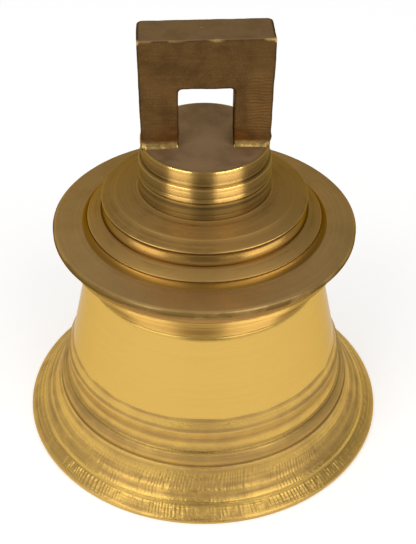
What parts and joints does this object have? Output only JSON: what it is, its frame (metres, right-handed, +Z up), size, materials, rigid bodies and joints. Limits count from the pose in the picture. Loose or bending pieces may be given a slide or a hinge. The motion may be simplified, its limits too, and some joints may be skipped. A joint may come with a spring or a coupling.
{
  "type": "temple bell",
  "caption": "Cast and turned brass hanging bell with a flared lip, stepped crown, square slotted hanging lug and a swivelling clapper with a round ball.",
  "frame": {"origin": "centre of the mouth plane, which the bell rests on", "axes": "+Z up along the bell's axis to the hanging lug; +X along the lug's width; -Y is the front"},
  "size_m": [0.2, 0.2, 0.2305],
  "materials": {
    "shell_brass": "turned, polished waist with lathe lines and tool chatter on the lip",
    "crown_brass": "turned, satin",
    "neck_brass": "turned, bright",
    "hanger_brass": "cast and filed, dull",
    "ball_brass": "turned, satin",
    "bronze": "turned, oiled",
    "steel": "zinc plated",
    "iron": "forged, dark"
  },
  "bodies": {
    "bell": {"bell_shell": "shell_brass", "shoulder_flange": "crown_brass", "lower_step": "crown_brass", "upper_step": "crown_brass", "lower_neck_ring": "neck_brass", "upper_neck_ring": "neck_brass", "hanger_head": "hanger_brass", "hanger_stud": "steel", "crown_washer": "steel", "crown_nut": "steel", "crown_screws": "steel", "thrust_washer": "bronze", "end_nut": "steel", "end_nut_pin": "steel"},
    "yoke": {"clapper_yoke": "iron", "clevis_pin": "steel", "clevis_pin_cotter": "steel"},
    "clapper": {"clapper_rod": "iron", "front_hub_bush": "bronze", "rear_hub_bush": "bronze", "clapper_ball": "ball_brass", "ball_lock_nut": "steel"}
  },
  "joints": [
    {"name": "yoke_swivel", "type": "hinge", "parent": "bell", "child": "yoke", "pos_m": [0, 0, 0.12], "axis": [0, 0, 1], "continuous": true},
    {"name": "clapper_swing", "type": "hinge", "parent": "yoke", "child": "clapper", "pos_m": [0, 0, 0.0955], "axis": [0, 1, 0], "range_deg": [-40.39, 40.39]}
  ]
}
